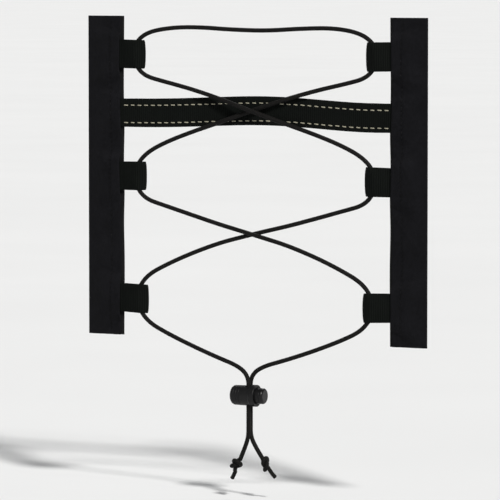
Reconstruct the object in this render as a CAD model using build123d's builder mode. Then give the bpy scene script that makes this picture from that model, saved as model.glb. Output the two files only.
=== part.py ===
from build123d import *
import os
from math import radians, tan

# Elastic lacing with a spring cord lock, as sewn on the front of a rucksack.
# X runs across, Z up, and the front faces -Y. The set lies on the panel that it is sewn to, whose
# face is the plane Y = 0, and the origin is on that plane, midway between the two seams and level
# with the middle pair of keepers. All sizes are in millimetres.

# driving dimensions
cord_dia = 3.0
core_dia = 1.9
sheath_bore = 2.1
webbing_width = 20.0
webbing_ply = 1.2
row_pitch = 85.5  # from one pair of keepers to the next
rows = {"top": row_pitch, "middle": 0.0, "bottom": -row_pitch}
seam_x = 105.0  # inner edge of each cover strip
keeper_reach = {"top": 19.8, "middle": 20.7, "bottom": 22.2}  # from the seam to the outside of the fold
strap_z = 44.0

# layers of each seam, outwards from the panel
tape_thick = 0.8
cover_thick = 0.9
seam_half_height = 112.0
tape_inner_x = seam_x - 2.0
seam_outer_x = seam_x + 26.0
tail_end_x = seam_x + 22.0
strap_end_x = seam_x + 20.0
topstitch_x = seam_x + 7.5
thread_width = 0.6
thread_rise = 0.35
strap_row_offset = 6.1  # from the middle between the strap's two rows of stitches to each row
strap_row_drop = 0.8  # of that middle below the strap's own
topstitch_inset = 2.0  # from the seam's ends to the ends of the topstitch
strap_row_inset = 0.5  # from the seam's edge to the ends of each strap row
tape_corner_radius = 1.0
cover_margin = 1.0  # how much wider each rise of the cover is than the webbing below, on each side
shortest_ramp = 1.0
ramp_per_rise = 1.7

# keeper section: the hollow that the cord runs through
hollow_y = -3.0
hollow_clearance = 0.15
hollow_half = cord_dia / 2 + hollow_clearance
hollow_length = 10.4  # along X, from the inside of the fold to where the plies start to close
closing_length = 6.0

# cord lock, its axis along X, its button towards +X
lock_y = -8.8
lock_z = -149.5
cord_spacing = 3.3
hole_clearance = 0.6  # for both cords together
barrel_radius = 7.6  # of the collar at the mouth
barrel_waist = 7.1  # radius behind the collar
barrel_draft = 0.3
bore_radius = 5.6
barrel_closed_x = -13.0
barrel_open_x = 6.0
barrel_floor = 1.8
collar_length = 3.6
collar_slope = 0.8
closed_corner_radius = 2.6
mouth_radius = 0.5
barrel_hole_low_x = -2.2
barrel_hole_high_x = 1.7
grip_groove_places = (-9.4, -7.4, -5.4)
grip_groove_size = 0.9
grip_groove_rounding = 0.3
plunger_radius = 5.52
plunger_inner_x = -5.5
plunger_tip_x = 12.0
plunger_tip_radius = 1.6
tip_groove_width = 0.7
tip_groove_depth = 0.3
tip_groove_inset = 2.6
plunger_hole_radius = 2.0
grip_clearance = 0.4  # what the spring leaves of the way through, less one cord
press_travel = 3.8
spring_wire = 0.6
spring_radius = 2.5
spring_pocket_radius = 3.3
spring_pocket_depth = 2.5
spring_turns = 5.8

# knots at the two ends of the cord
knot_radius = 4.4
knot_length = 9.4
knot_rounding = 2.8
stub_length = 6.6

arc_share = 0.45  # of the shorter run at each corner of the route, which the arc takes up

# The cord's route, from the end of its left tail to the end of its right tail: up through the lock,
# round the bottom left keeper, in an X from side to side up to the top pair, and back down.
tail_left_y = lock_y - cord_spacing / 2
tail_right_y = lock_y + cord_spacing / 2
cord_route = [
    (-7.6, -8.4, -194.6),
    (-3.6, -9.7, -187.0),
    (0, tail_left_y, -178.0),
    (0, tail_left_y, -136.5),
    (-7.5, -9.5, -129.6),
    (-28, -6.9, -123.6),
    (-49, -5.0, -116.4),
    (-67.5, -3.8, -109.2),
    (-81.6, -3.2, -102.6),
    (-89.4, -3.0, -94.0),
    (-91.2, -3.0, -85.5),
    (-89.4, -3.0, -76.8),
    (-82, -3.0, -68.4),
    (-67.5, -2.9, -61.0),
    (-49.5, -2.7, -53.2),
    (-27, -2.4, -45.0),
    (-8, -2.2, -40.0),
    (8, -2.2, -36.0),
    (27, -2.3, -31.6),
    (49, -2.7, -25.7),
    (69.5, -2.9, -20.0),
    (84.0, -3.0, -16.0),
    (91.2, -3.0, -8.6),
    (93, -3.0, 0),
    (91.2, -3.0, 8.6),
    (83, -3.1, 17.0),
    (69, -3.4, 24.0),
    (50, -3.9, 31.0),
    (26, -5.7, 38.7),
    (8.5, -7.7, 44.6),
    (-8.5, -7.7, 50.2),
    (-28, -5.7, 56.3),
    (-51, -3.9, 62.4),
    (-71.5, -3.3, 66.9),
    (-85, -3.0, 70.2),
    (-92, -3.0, 77.0),
    (-93.8, -3.0, 85.5),
    (-92, -3.0, 94.0),
    (-82.5, -2.9, 101.0),
    (-63, -2.6, 104.2),
    (-42, -2.3, 104.5),
    (-16, -2.1, 102.9),
    (10, -2.1, 102.4),
    (36, -2.2, 104.1),
    (62, -2.5, 104.7),
    (82, -2.9, 101.2),
    (92, -3.0, 94.0),
    (93.8, -3.0, 85.5),
    (92, -3.0, 77.0),
    (85, -3.1, 70.4),
    (71.5, -3.3, 66.9),
    (51, -3.8, 62.4),
    (28, -4.3, 56.3),
    (8.5, -4.4, 50.2),
    (-8.5, -4.4, 44.6),
    (-26, -4.3, 38.7),
    (-50, -3.8, 31.0),
    (-69, -3.3, 24.0),
    (-83, -3.0, 17.0),
    (-91.2, -3.0, 8.6),
    (-93, -3.0, 0),
    (-91.2, -3.0, -8.6),
    (-84.0, -3.0, -16.0),
    (-69.5, -3.0, -20.0),
    (-49, -3.2, -25.7),
    (-27, -4.4, -31.6),
    (-8, -5.6, -36.0),
    (8, -5.6, -40.0),
    (27, -4.4, -45.0),
    (49.5, -3.2, -53.2),
    (67.5, -3.0, -61.0),
    (82, -3.0, -68.4),
    (89.4, -3.0, -76.8),
    (91.2, -3.0, -85.5),
    (89.4, -3.0, -94.0),
    (81.6, -3.1, -102.6),
    (67.5, -3.4, -109.2),
    (49, -4.0, -116.4),
    (28, -5.0, -123.6),
    (7.5, -6.6, -129.6),
    (0, tail_right_y, -136.5),
    (0, tail_right_y, -178.0),
    (4.2, -6.6, -186.4),
    (9.0, -6.2, -193.4),
]


def bend_radius(before, corner, after):
    """The largest arc that the two runs at a corner of the route allow."""
    arriving = Vector(*corner) - Vector(*before)
    leaving = Vector(*after) - Vector(*corner)
    half_turn = radians(arriving.get_angle(leaving)) / 2
    return arc_share * min(arriving.length, leaving.length) / tan(half_turn)


bend_radii = [bend_radius(*cord_route[i - 1 : i + 2]) for i in range(1, len(cord_route) - 1)]
with BuildLine() as cord_line:
    FilletPolyline(*cord_route, radius=bend_radii)


def cord_tube(outer_dia, inner_dia=0.0):
    """A round tube, or a solid rod, along the whole of the cord's route."""
    start = Plane(origin=cord_line.line @ 0, z_dir=cord_line.line % 0)
    with BuildPart() as tube:
        with BuildSketch(start):
            Circle(outer_dia / 2)
            if inner_dia:
                Circle(inner_dia / 2, mode=Mode.SUBTRACT)
        sweep(path=cord_line.line)
    return tube.part


def cord_end(point, direction):
    """The knot at one end of the cord, with the short stub that sticks out below it."""
    top = Plane(origin=point, z_dir=direction)
    with BuildPart() as end:
        with BuildSketch(top):
            Circle(knot_radius)
        extrude(amount=knot_length)
        fillet(end.edges().filter_by(GeomType.CIRCLE), radius=knot_rounding)
        with BuildSketch(top.offset(knot_length)):
            Circle(cord_dia / 2)
        extrude(amount=stub_length)
    return end.part


def keeper(row):
    """Webbing folded round the cord, its two tails together under the right cover strip."""
    fold_x = seam_x - keeper_reach[row]
    outer_half = hollow_half + webbing_ply
    fold_centre_x = fold_x + outer_half
    closing_x = fold_x + webbing_ply + hollow_length - hollow_half
    closed_x = closing_x + closing_length
    tail_front_y = -tape_thick - 2 * webbing_ply
    with BuildPart() as folded:
        with BuildSketch(Plane.XY.offset(rows[row] - webbing_width / 2)):
            with BuildLine():
                Polyline(
                    (fold_centre_x, hollow_y - outer_half),
                    (closing_x, hollow_y - outer_half),
                    (closed_x, tail_front_y),
                    (tail_end_x, tail_front_y),
                    (tail_end_x, -tape_thick),
                    (closed_x, -tape_thick),
                    (closing_x, hollow_y + outer_half),
                    (fold_centre_x, hollow_y + outer_half),
                )
                ThreePointArc(
                    (fold_centre_x, hollow_y + outer_half),
                    (fold_x, hollow_y),
                    (fold_centre_x, hollow_y - outer_half),
                )
            make_face()
            with BuildLine():
                Polyline(
                    (fold_centre_x, hollow_y - hollow_half),
                    (closing_x, hollow_y - hollow_half),
                    (closed_x, -tape_thick - webbing_ply),
                    (closing_x, hollow_y + hollow_half),
                    (fold_centre_x, hollow_y + hollow_half),
                )
                ThreePointArc(
                    (fold_centre_x, hollow_y + hollow_half),
                    (fold_x + webbing_ply, hollow_y),
                    (fold_centre_x, hollow_y - hollow_half),
                )
            make_face(mode=Mode.SUBTRACT)
        extrude(amount=webbing_width)
    return folded.part


# what lies under each cover strip: middle height, thickness and far edge
under_cover = [(rows[row], 2 * webbing_ply, tail_end_x) for row in rows]
under_cover.append((strap_z, webbing_ply, strap_end_x))
under_cover.sort()
plateau_half = webbing_width / 2 + cover_margin
cover_front_y = -tape_thick - cover_thick


def ramp_length(rise):
    """How far the cover takes to come down from a layer of that thickness."""
    return shortest_ramp + ramp_per_rise * rise


def cover():
    """Folded fabric along the right seam, which rises over the tails and the strap's end."""
    front = [(-seam_half_height, cover_front_y)]
    for z, rise, _ in under_cover:
        ramp = ramp_length(rise)
        front.append((z - plateau_half - ramp, cover_front_y))
        front.append((z - plateau_half, cover_front_y - rise))
        front.append((z + plateau_half, cover_front_y - rise))
        front.append((z + plateau_half + ramp, cover_front_y))
    front.append((seam_half_height, cover_front_y))
    outline = [(y, z) for z, y in front]
    outline.append((-tape_thick, seam_half_height))
    outline.append((-tape_thick, -seam_half_height))
    with BuildPart() as strip:
        with BuildSketch(Plane.YZ.offset(seam_x)):
            with BuildLine():
                Polyline(*outline, close=True)
            make_face()
        extrude(amount=seam_outer_x - seam_x)
        for z, rise, far_x in under_cover:
            with Locations(((seam_x + far_x) / 2, -tape_thick - rise / 2, z)):
                Box(far_x - seam_x, rise, webbing_width, mode=Mode.SUBTRACT)
    return strip.part


def topstitch():
    """The row of thread on the right cover strip, in the flat stretches and on each rise."""
    flats = []
    low = -seam_half_height + topstitch_inset
    for z, rise, _ in under_cover:
        ramp = ramp_length(rise)
        flats.append((low, z - plateau_half - ramp, cover_front_y))
        flats.append((z - plateau_half, z + plateau_half, cover_front_y - rise))
        low = z + plateau_half + ramp
    flats.append((low, seam_half_height - topstitch_inset, cover_front_y))
    with BuildPart() as thread:
        for low, high, y in flats:
            with Locations((topstitch_x, y - thread_rise / 2, (low + high) / 2)):
                Box(thread_width, thread_rise, high - low)
    return thread.part


def backing_tape():
    """The woven tape behind the right seam, the face that is sewn to the panel."""
    with BuildPart() as tape:
        with BuildSketch(Plane.XZ):
            with Locations(((tape_inner_x + seam_outer_x) / 2, 0)):
                RectangleRounded(seam_outer_x - tape_inner_x, 2 * seam_half_height, tape_corner_radius)
        extrude(amount=tape_thick)
    return tape.part


def write(shape, name):
    """Labels one sub-part and writes it to its own file."""
    shape.label = name
    export_step(shape, f"parts/{name}.step")


os.makedirs("parts", exist_ok=True)

# the two seams, the right one drawn and the left one its mirror image
seam_pieces = {
    "backing_tape_right": backing_tape(),
    "cover_strip_right": cover(),
    "topstitch_right": topstitch(),
}
for row_name in rows:
    seam_pieces[f"keeper_right_{row_name}"] = keeper(row_name)
for piece_name, piece in seam_pieces.items():
    write(piece, piece_name)
    write(mirror(piece, about=Plane.YZ), piece_name.replace("right", "left"))

# the strap that joins the two seams, with its two rows of stitches
with BuildPart() as cross_strap:
    with Locations((0, -tape_thick - webbing_ply / 2, strap_z)):
        Box(2 * strap_end_x, webbing_ply, webbing_width)
write(cross_strap.part, "cross_strap")
for row_name, side in (("upper", 1), ("lower", -1)):
    row_z = strap_z - strap_row_drop + side * strap_row_offset
    with BuildPart() as strap_stitch:
        with Locations((0, -tape_thick - webbing_ply - thread_rise / 2, row_z)):
            Box(2 * (seam_x - strap_row_inset), thread_rise, thread_width)
    write(strap_stitch.part, f"strap_stitch_{row_name}")

# the elastic cord
write(cord_tube(cord_dia, sheath_bore), "cord_sheath")
write(cord_tube(core_dia), "cord_core")
write(cord_end(cord_line.line @ 0, (cord_line.line % 0) * -1), "cord_end_left")
write(cord_end(cord_line.line @ 1, cord_line.line % 1), "cord_end_right")

# lock barrel: a cup with grip grooves and a cross hole for the two cords side by side
lock_axis = Axis((0, lock_y, lock_z), (1, 0, 0))
lock_plane = Plane((0, lock_y, lock_z), x_dir=(1, 0, 0), z_dir=(0, -1, 0))
hole_height = cord_dia + cord_spacing + hole_clearance
floor_x = barrel_closed_x + barrel_floor
with BuildPart() as lock_barrel:
    with BuildSketch(lock_plane) as barrel_section:
        with BuildLine():
            Polyline(
                (barrel_closed_x, 0),
                (barrel_closed_x, barrel_waist - barrel_draft),
                (barrel_open_x - collar_length - collar_slope, barrel_waist),
                (barrel_open_x - collar_length, barrel_radius),
                (barrel_open_x, barrel_radius),
                (barrel_open_x, bore_radius),
                (floor_x, bore_radius),
                (floor_x, 0),
                close=True,
            )
        make_face()
        closed_corner = barrel_section.vertices().sort_by(Axis.X)[:2].sort_by(Axis.Y)[-1]
        fillet(closed_corner, radius=closed_corner_radius)
    revolve(axis=lock_axis)
    with BuildSketch(lock_plane):
        for groove_x in grip_groove_places:
            with Locations((groove_x, barrel_waist)):
                RectangleRounded(grip_groove_size, grip_groove_size, grip_groove_rounding)
    revolve(axis=lock_axis, mode=Mode.SUBTRACT)
    mouth_rim = lock_barrel.edges().filter_by(GeomType.CIRCLE).group_by(Axis.X)[-1]
    fillet(mouth_rim, radius=mouth_radius)
    with BuildSketch(Plane.XY.offset(lock_z - barrel_radius)):
        with Locations(((barrel_hole_low_x + barrel_hole_high_x) / 2, lock_y)):
            SlotOverall(hole_height, barrel_hole_high_x - barrel_hole_low_x, rotation=90)
    extrude(amount=2 * barrel_radius, mode=Mode.SUBTRACT)
write(lock_barrel.part, "lock_barrel")

# lock plunger: a button whose cross hole only lines up with the barrel's when it is pressed
plunger_hole_low_x = barrel_hole_high_x - cord_dia - grip_clearance
plunger_hole_high_x = plunger_hole_low_x + cord_dia + press_travel + grip_clearance
with BuildPart() as lock_plunger:
    with BuildSketch(lock_plane):
        with BuildLine():
            Polyline(
                (plunger_inner_x, 0),
                (plunger_inner_x, plunger_radius),
                (plunger_tip_x, plunger_radius),
                (plunger_tip_x, 0),
                close=True,
            )
        make_face()
    revolve(axis=lock_axis)
    tip_edge = lock_plunger.edges().filter_by(GeomType.CIRCLE).sort_by(Axis.X)[-1]
    fillet(tip_edge, radius=plunger_tip_radius)
    with BuildSketch(lock_plane):
        with Locations((plunger_inner_x + spring_pocket_depth / 2, spring_pocket_radius / 2)):
            Rectangle(spring_pocket_depth, spring_pocket_radius)
    revolve(axis=lock_axis, mode=Mode.SUBTRACT)
    with BuildSketch(lock_plane):
        with Locations((plunger_tip_x - tip_groove_inset, plunger_radius)):
            RectangleRounded(tip_groove_width, 2 * tip_groove_depth, tip_groove_depth / 2)
    revolve(axis=lock_axis, mode=Mode.SUBTRACT)
    with BuildSketch(Plane.XY.offset(lock_z - barrel_radius)):
        with Locations(((plunger_hole_low_x + plunger_hole_high_x) / 2, lock_y)):
            RectangleRounded(plunger_hole_high_x - plunger_hole_low_x, hole_height, plunger_hole_radius)
    extrude(amount=2 * barrel_radius, mode=Mode.SUBTRACT)
write(lock_plunger.part, "lock_plunger")

# lock spring, from the barrel's floor to the bottom of the plunger's pocket
spring_start_x = floor_x + spring_wire / 2
spring_end_x = plunger_inner_x + spring_pocket_depth - spring_wire / 2
with BuildPart() as lock_spring:
    with BuildLine() as coil:
        Helix(
            pitch=(spring_end_x - spring_start_x) / spring_turns,
            height=spring_end_x - spring_start_x,
            radius=spring_radius,
            center=(spring_start_x, lock_y, lock_z),
            direction=(1, 0, 0),
        )
    with BuildSketch(Plane(origin=coil.line @ 0, z_dir=coil.line % 0)):
        Circle(spring_wire / 2)
    sweep(is_frenet=True)
write(lock_spring.part, "lock_spring")

cord_length = sum(edge.length for edge in cord_line.edges())
print(f"cord length {cord_length:.1f} mm, smallest radius {min(bend_radii):.1f} mm")
print("radii", " ".join(f"{radius:.0f}" for radius in bend_radii))
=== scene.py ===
import math

import bpy
import numpy as np
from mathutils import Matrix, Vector


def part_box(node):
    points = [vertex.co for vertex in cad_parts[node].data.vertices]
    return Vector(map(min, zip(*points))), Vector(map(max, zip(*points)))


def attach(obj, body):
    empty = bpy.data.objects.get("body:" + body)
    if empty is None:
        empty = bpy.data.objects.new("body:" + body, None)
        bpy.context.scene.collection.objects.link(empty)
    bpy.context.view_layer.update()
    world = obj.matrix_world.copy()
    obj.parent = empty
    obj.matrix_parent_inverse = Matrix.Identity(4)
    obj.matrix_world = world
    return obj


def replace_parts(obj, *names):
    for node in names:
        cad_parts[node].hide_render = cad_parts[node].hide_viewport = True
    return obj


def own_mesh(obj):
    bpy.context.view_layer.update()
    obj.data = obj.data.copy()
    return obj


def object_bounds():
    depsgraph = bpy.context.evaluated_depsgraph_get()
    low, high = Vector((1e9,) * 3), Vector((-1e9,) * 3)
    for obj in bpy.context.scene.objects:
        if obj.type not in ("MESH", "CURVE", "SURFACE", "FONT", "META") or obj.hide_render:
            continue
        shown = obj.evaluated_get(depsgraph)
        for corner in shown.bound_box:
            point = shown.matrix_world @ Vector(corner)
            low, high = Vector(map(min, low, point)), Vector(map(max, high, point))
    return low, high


# Looks for the elastic lacing with a spring cord lock. Metres, +Z up, the front faces -Y, and the
# plane Y = 0 is the face that is sewn to the panel. The CAD frame gives the places and outer sizes
# of the pieces; only the cord's route is listed here.

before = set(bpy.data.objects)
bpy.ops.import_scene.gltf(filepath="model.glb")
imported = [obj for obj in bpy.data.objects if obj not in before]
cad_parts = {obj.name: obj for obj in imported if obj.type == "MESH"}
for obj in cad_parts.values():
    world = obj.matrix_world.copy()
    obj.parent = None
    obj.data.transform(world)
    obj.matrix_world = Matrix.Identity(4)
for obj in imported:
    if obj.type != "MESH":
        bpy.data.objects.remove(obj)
cad_low, cad_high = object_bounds()

MM = 0.001
ROOT = "seams_and_cord"
SIDES = {"right": 1, "left": -1}
ROWS = ("top", "middle", "bottom")

# sizes that the frame gives, for the right side; the left one is its mirror image
strap_low, strap_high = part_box("cross_strap")
tape_low, tape_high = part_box("backing_tape_right")
cover_low, cover_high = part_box("cover_strip_right")
stitch_low, stitch_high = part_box("topstitch_right")
PLY = strap_high.y - strap_low.y
TAPE = tape_high.y - tape_low.y
COVER = -cover_low.y - TAPE - 2 * PLY
SEAM_X = cover_low.x
TOPSTITCH_X = (stitch_low.x + stitch_high.x) / 2
STRAP_Z = (strap_low.z + strap_high.z) / 2
WEBBING_HALF = (strap_high.z - strap_low.z) / 2

CORD_DIAMETER = 3.0 * MM
PLAITS = 8  # of the braid, in each direction
PLAIT_TURN = 12.5 * MM  # along the cord, for one full turn
RIB_PITCH = 1.55 * MM  # of the webbing

# pitches of the finer threads, in the millimetres of the "cloth" UV map
WEBBING_WARP = 0.42
COVER_WARP = 0.62
COVER_WEFT = 0.58
TWILL_PITCH = 0.8
HERRINGBONE_WIDTH = 3.5

THREAD_DIP = 0.55  # how far a thread falls towards the next crossing, as a share of its height
FILAMENT_SHARE = 0.2  # a filament's width, as a share of its plait's

# The cord's route, from the end of its left tail to the end of its right tail.
CORD_ROUTE = [
    (-0.0076, -0.0084, -0.1946),
    (-0.0036, -0.0097, -0.187),
    (0, -0.01045, -0.178),
    (0, -0.01045, -0.1685),
    (0, -0.01045, -0.147),
    (0, -0.01045, -0.1365),
    (-0.0075, -0.0095, -0.1296),
    (-0.028, -0.0069, -0.1236),
    (-0.049, -0.005, -0.1164),
    (-0.0675, -0.0038, -0.1092),
    (-0.0816, -0.0032, -0.1026),
    (-0.0894, -0.003, -0.094),
    (-0.0912, -0.003, -0.0855),
    (-0.0894, -0.003, -0.0768),
    (-0.082, -0.003, -0.0684),
    (-0.0675, -0.0029, -0.061),
    (-0.0495, -0.0027, -0.0532),
    (-0.027, -0.0024, -0.045),
    (-0.008, -0.0022, -0.04),
    (0.008, -0.0022, -0.036),
    (0.027, -0.0023, -0.0316),
    (0.049, -0.0027, -0.0257),
    (0.0695, -0.0029, -0.02),
    (0.084, -0.003, -0.016),
    (0.0912, -0.003, -0.0086),
    (0.093, -0.003, 0),
    (0.0912, -0.003, 0.0086),
    (0.083, -0.0031, 0.017),
    (0.069, -0.0034, 0.024),
    (0.05, -0.0039, 0.031),
    (0.026, -0.0057, 0.0387),
    (0.0085, -0.0077, 0.0446),
    (-0.0085, -0.0077, 0.0502),
    (-0.028, -0.0057, 0.0563),
    (-0.051, -0.0039, 0.0624),
    (-0.0715, -0.0033, 0.0669),
    (-0.085, -0.003, 0.0702),
    (-0.092, -0.003, 0.077),
    (-0.0938, -0.003, 0.0855),
    (-0.092, -0.003, 0.094),
    (-0.0825, -0.0029, 0.101),
    (-0.063, -0.0026, 0.1042),
    (-0.042, -0.0023, 0.1045),
    (-0.016, -0.0021, 0.1029),
    (0.01, -0.0021, 0.1024),
    (0.036, -0.0022, 0.1041),
    (0.062, -0.0025, 0.1047),
    (0.082, -0.0029, 0.1012),
    (0.092, -0.003, 0.094),
    (0.0938, -0.003, 0.0855),
    (0.092, -0.003, 0.077),
    (0.085, -0.0031, 0.0704),
    (0.0715, -0.0033, 0.0669),
    (0.051, -0.0038, 0.0624),
    (0.028, -0.0043, 0.0563),
    (0.0085, -0.0044, 0.0502),
    (-0.0085, -0.0044, 0.0446),
    (-0.026, -0.0043, 0.0387),
    (-0.05, -0.0038, 0.031),
    (-0.069, -0.0033, 0.024),
    (-0.083, -0.003, 0.017),
    (-0.0912, -0.003, 0.0086),
    (-0.093, -0.003, 0),
    (-0.0912, -0.003, -0.0086),
    (-0.084, -0.003, -0.016),
    (-0.0695, -0.003, -0.02),
    (-0.049, -0.0032, -0.0257),
    (-0.027, -0.0044, -0.0316),
    (-0.008, -0.0056, -0.036),
    (0.008, -0.0056, -0.04),
    (0.027, -0.0044, -0.045),
    (0.0495, -0.0032, -0.0532),
    (0.0675, -0.003, -0.061),
    (0.082, -0.003, -0.0684),
    (0.0894, -0.003, -0.0768),
    (0.0912, -0.003, -0.0855),
    (0.0894, -0.003, -0.094),
    (0.0816, -0.0031, -0.1026),
    (0.0675, -0.0034, -0.1092),
    (0.049, -0.004, -0.1164),
    (0.028, -0.005, -0.1236),
    (0.0075, -0.0066, -0.1296),
    (0, -0.00715, -0.1365),
    (0, -0.00715, -0.147),
    (0, -0.00715, -0.1685),
    (0, -0.00715, -0.178),
    (0.0042, -0.0066, -0.1864),
    (0.009, -0.0062, -0.1934),
]


# ---------------------------------------------------------------- materials


class Shade:
    """One material's nodes. Lengths in the weave patterns are millimetres of the "cloth" UV map."""

    def __init__(self, name, roughness, **sockets):
        self.material = bpy.data.materials.new(name)
        self.material.use_nodes = True
        self.tree = self.material.node_tree
        self.surface = self.tree.nodes["Principled BSDF"]
        self.surface.inputs["Roughness"].default_value = roughness
        for socket, value in sockets.items():
            self.surface.inputs[socket.replace("_", " ")].default_value = value

    def node(self, kind, **settings):
        made = self.tree.nodes.new("ShaderNode" + kind)
        for key, value in settings.items():
            setattr(made, key, value)
        return made

    def feed(self, socket, value):
        if isinstance(value, bpy.types.NodeSocket):
            self.tree.links.new(value, socket)
        else:
            socket.default_value = value

    def math(self, operation, first, second=0.0, third=0.0):
        made = self.node("Math", operation=operation)
        for socket, value in zip(made.inputs, (first, second, third), strict=True):
            self.feed(socket, value)
        return made.outputs[0]

    def cloth(self):
        """The distances across and along the piece, in millimetres."""
        split = self.node("SeparateXYZ")
        self.feed(split.inputs[0], self.node("UVMap", uv_map="cloth").outputs[0])
        return split.outputs[0], split.outputs[1]

    def noise(self, scale, detail=3.0, roughness=0.55):
        """Noise fixed in the object, scale per metre."""
        made = self.node("TexNoise")
        self.feed(made.inputs["Vector"], self.node("TexCoord").outputs["Object"])
        made.inputs["Scale"].default_value = scale
        made.inputs["Detail"].default_value = detail
        made.inputs["Roughness"].default_value = roughness
        return made.outputs["Fac"]

    def yarns(self, distance, pitch):
        """Round threads side by side: 0 between two threads, 1 on top of each."""
        turns = self.math("MULTIPLY", distance, math.pi / pitch)
        return self.math("ABSOLUTE", self.math("SINE", turns))

    def weave(self, across, along, pitch_across, pitch_along):
        """Plain weave: the thread on top changes from one crossing to the next."""
        warp = self.math("SINE", self.math("MULTIPLY", across, math.pi / pitch_across))
        weft = self.math("SINE", self.math("MULTIPLY", along, math.pi / pitch_along))
        over = self.math("GREATER_THAN", self.math("MULTIPLY", warp, weft), 0.0)
        warp = self.math("ABSOLUTE", warp)
        weft = self.math("ABSOLUTE", weft)
        level = 1 - THREAD_DIP
        warp_top = self.math("MULTIPLY", warp, self.math("MULTIPLY_ADD", weft, THREAD_DIP, level))
        weft_top = self.math("MULTIPLY", weft, self.math("MULTIPLY_ADD", warp, THREAD_DIP, level))
        return self.blend(over, weft_top, warp_top)

    def blend(self, share, low, high):
        """low at share 0, high at share 1."""
        made = self.node("Mix", data_type="FLOAT")
        self.feed(made.inputs[0], share)
        self.feed(made.inputs[2], low)
        self.feed(made.inputs[3], high)
        return made.outputs[0]

    def colour(self, share, dark, light):
        """The base colour, from dark at share 0 to light at share 1."""
        made = self.node("Mix", data_type="RGBA")
        self.feed(made.inputs[0], share)
        made.inputs[6].default_value = (*dark, 1)
        made.inputs[7].default_value = (*light, 1)
        self.feed(self.surface.inputs["Base Color"], made.outputs[2])

    def roughness(self, share, low, high):
        made = self.node("MapRange")
        self.feed(made.inputs["Value"], share)
        made.inputs["To Min"].default_value = low
        made.inputs["To Max"].default_value = high
        self.feed(self.surface.inputs["Roughness"], made.outputs[0])

    def bump(self, height, depth, strength=1.0):
        made = self.node("Bump")
        self.feed(made.inputs["Height"], height)
        made.inputs["Distance"].default_value = depth
        made.inputs["Strength"].default_value = strength
        self.feed(self.surface.inputs["Normal"], made.outputs[0])


def webbing_material():
    """Ribbed nylon webbing, near black with a faint green, its fine warp threads over each rib."""
    shade = Shade("ribbed_webbing", 0.7, Specular_IOR_Level=0.03, Sheen_Weight=0.01, Sheen_Roughness=0.4)
    across, along = shade.cloth()
    painted_crest_light = shade.yarns(along, RIB_PITCH / MM)
    threads = shade.yarns(across, WEBBING_WARP)
    filaments = shade.noise(2600, 2)
    mottle = shade.noise(90, 4)
    # painted light: the colour is painted lighter on the rib crests and warp-thread tops, with painted
    # shade in the valleys between them
    cloth = shade.math("MULTIPLY_ADD", threads, 0.35, shade.math("MULTIPLY", painted_crest_light, 0.5))
    tone = shade.math("MULTIPLY_ADD", mottle, 0.5, shade.math("SUBTRACT", cloth, 0.1))
    shade.colour(tone, (0.0006, 0.0008, 0.0007), (0.0057, 0.0068, 0.0060))
    shade.roughness(mottle, 0.55, 0.78)
    shade.bump(shade.math("MULTIPLY_ADD", filaments, 0.5, threads), 0.00010, 0.8)
    return shade.material


def cover_material():
    """Plain-weave nylon of coarse air-textured yarn, with slubs and a little wear."""
    shade = Shade("cover_cloth", 0.8, Specular_IOR_Level=0.05, Sheen_Weight=0.02, Sheen_Roughness=0.5)
    across, along = shade.cloth()
    cloth = shade.weave(across, along, COVER_WARP, COVER_WEFT)
    fuzz = shade.noise(2400, 3)
    slubs = shade.noise(420, 4)
    patches = shade.noise(70, 4)
    # painted shade: the weave's height also darkens the colour in the gaps between threads and lightens
    # their tops
    tone = shade.math("MULTIPLY_ADD", cloth, 0.35, shade.math("MULTIPLY", slubs, 0.45))
    tone = shade.math("MULTIPLY_ADD", patches, 0.35, tone)
    tone = shade.math("MULTIPLY_ADD", tone, 1.8, -0.5)
    shade.colour(tone, (0.0010, 0.0010, 0.0014), (0.0082, 0.0082, 0.0101))
    shade.roughness(slubs, 0.62, 0.88)
    height = shade.math("MULTIPLY_ADD", fuzz, 0.45, cloth)
    shade.bump(shade.math("MULTIPLY_ADD", slubs, 1.2, height), 0.00018, 0.9)
    return shade.material


def tape_material():
    """Twill seam tape: its ridges run at an angle and turn back in a herringbone."""
    shade = Shade("seam_tape", 0.8, Specular_IOR_Level=0.06, Sheen_Weight=0.02, Sheen_Roughness=0.5)
    across, along = shade.cloth()
    zigzag = shade.math("PINGPONG", across, HERRINGBONE_WIDTH)
    twill = shade.yarns(shade.math("ADD", along, zigzag), TWILL_PITCH)
    fuzz = shade.noise(2200, 3)
    mottle = shade.noise(120, 4)
    # painted shade: the colour is darker in the furrows between the twill ridges, lighter on the ridges
    tone = shade.math("MULTIPLY_ADD", twill, 0.5, shade.math("MULTIPLY", mottle, 0.6))
    shade.colour(tone, (0.0025, 0.0025, 0.0027), (0.0130, 0.0130, 0.0136))
    shade.roughness(mottle, 0.65, 0.9)
    shade.bump(shade.math("MULTIPLY_ADD", fuzz, 0.35, twill), 0.00014, 0.9)
    return shade.material


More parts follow.
